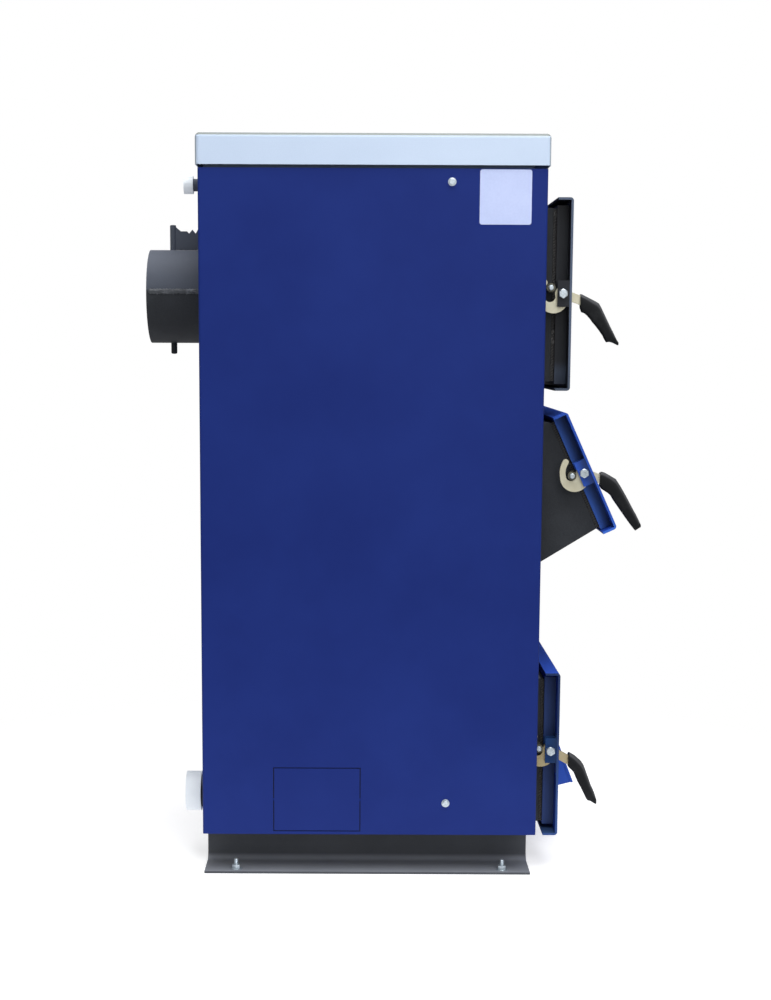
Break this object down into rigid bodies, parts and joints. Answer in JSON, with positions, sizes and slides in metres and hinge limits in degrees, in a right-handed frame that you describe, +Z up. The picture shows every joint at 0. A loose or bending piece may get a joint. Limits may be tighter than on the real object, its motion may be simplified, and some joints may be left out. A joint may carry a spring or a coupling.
{
  "type": "solid fuel boiler",
  "caption": "Upright solid fuel boiler with a sheet casing and lid, hinged cleaning, feed and ash doors with hook latches, an air flap and a rear flue with throttle.",
  "frame": {"origin": "on the floor, at the middle of the four anchor holes and under the middle of the casing", "axes": "+Z up, the doors face -Y, the latches are on the -X side and the hinges on the +X side"},
  "size_m": [0.468, 0.8675, 1.271],
  "materials": {
    "dark_steel": "matt dark grey heat paint",
    "vessel_steel": "sooty steel plate",
    "cast_iron": "rough casting",
    "casing_blue": "fine powder coat, semi-gloss",
    "lid_silver": "silver grey powder coat",
    "wool": "mineral wool",
    "white_plastic": "moulded protection caps",
    "zinc_yellow": "yellow passivated zinc",
    "zinc": "bright zinc plate",
    "graphite": "black heat paint",
    "door_blue": "semi-gloss powder coat",
    "gasket_rope": "woven glass rope",
    "black_plastic": "fine grained thermoset"
  },
  "bodies": {
    "boiler": {"base_rails": "dark_steel", "base_sills": "dark_steel", "vessel_floor": "vessel_steel", "left_water_wall": "vessel_steel", "right_water_wall": "vessel_steel", "rear_water_wall": "vessel_steel", "front_water_wall": "vessel_steel", "vessel_top": "vessel_steel", "heat_exchanger_shelf": "vessel_steel", "grate": "cast_iron", "ash_neck": "dark_steel", "feed_chute": "dark_steel", "cleaning_neck": "dark_steel", "left_side_panel": "casing_blue", "right_side_panel": "casing_blue", "front_panels": "casing_blue", "rear_panel_lower": "casing_blue", "rear_panel_upper": "casing_blue", "lid": "lid_silver", "wool_lining": "wool", "flue_spigot": "dark_steel", "water_nozzles": "dark_steel", "nozzle_caps": "white_plastic", "latch_keepers": "zinc", "hinge_lugs": "dark_steel"},
    "cleaning_door": {"cleaning_door_pan": "graphite", "cleaning_door_core": "graphite", "cleaning_door_gasket": "gasket_rope", "cleaning_door_brackets": "graphite"},
    "feed_door": {"feed_door_pan": "door_blue", "feed_door_core": "door_blue", "feed_door_gasket": "gasket_rope", "feed_door_brackets": "door_blue"},
    "ash_door": {"ash_door_pan": "door_blue", "ash_door_core": "door_blue", "ash_door_gasket": "gasket_rope", "ash_door_brackets": "door_blue", "air_inlet_frame": "door_blue"},
    "cleaning_latch": {"cleaning_lever": "zinc_yellow", "cleaning_grip": "black_plastic"},
    "feed_latch": {"feed_lever": "zinc_yellow", "feed_grip": "black_plastic"},
    "ash_latch": {"ash_lever": "zinc_yellow", "ash_grip": "black_plastic"},
    "air_flap": {"air_flap": "door_blue"},
    "flue_damper": {"damper": "dark_steel"}
  },
  "joints": [
    {"name": "cleaning_door_hinge", "type": "hinge", "parent": "boiler", "child": "cleaning_door", "pos_m": [0.208, -0.321, 1.0085], "axis": [0, 0, 1], "range_deg": [0, 95]},
    {"name": "feed_door_hinge", "type": "hinge", "parent": "boiler", "child": "feed_door", "pos_m": [0.208, -0.36422, 0.70354], "axis": [0, 0.4147, 0.91], "range_deg": [0, 130]},
    {"name": "ash_door_hinge", "type": "hinge", "parent": "boiler", "child": "ash_door", "pos_m": [0.208, -0.3155, 0.209], "axis": [0, 0, 1], "range_deg": [0, 110]},
    {"name": "cleaning_latch_lift", "type": "hinge", "parent": "cleaning_door", "child": "cleaning_latch", "pos_m": [-0.189, -0.324, 1.0105], "axis": [-1, 0, 0], "range_deg": [0, 50]},
    {"name": "feed_latch_lift", "type": "hinge", "parent": "feed_door", "child": "feed_latch", "pos_m": [-0.189, -0.36654, 0.70569], "axis": [-1, 0, 0], "range_deg": [0, 74]},
    {"name": "ash_latch_lift", "type": "hinge", "parent": "ash_door", "child": "ash_latch", "pos_m": [-0.189, -0.3185, 0.216], "axis": [-1, 0, 0], "range_deg": [0, 65]},
    {"name": "air_flap_hinge", "type": "hinge", "parent": "ash_door", "child": "air_flap", "pos_m": [0, -0.3395, 0.218], "axis": [-1, 0, 0], "range_deg": [0, 50]},
    {"name": "flue_damper_turn", "type": "hinge", "parent": "boiler", "child": "flue_damper", "pos_m": [0, 0.358, 1.008], "axis": [0, 0, 1], "range_deg": [0, 90]}
  ]
}
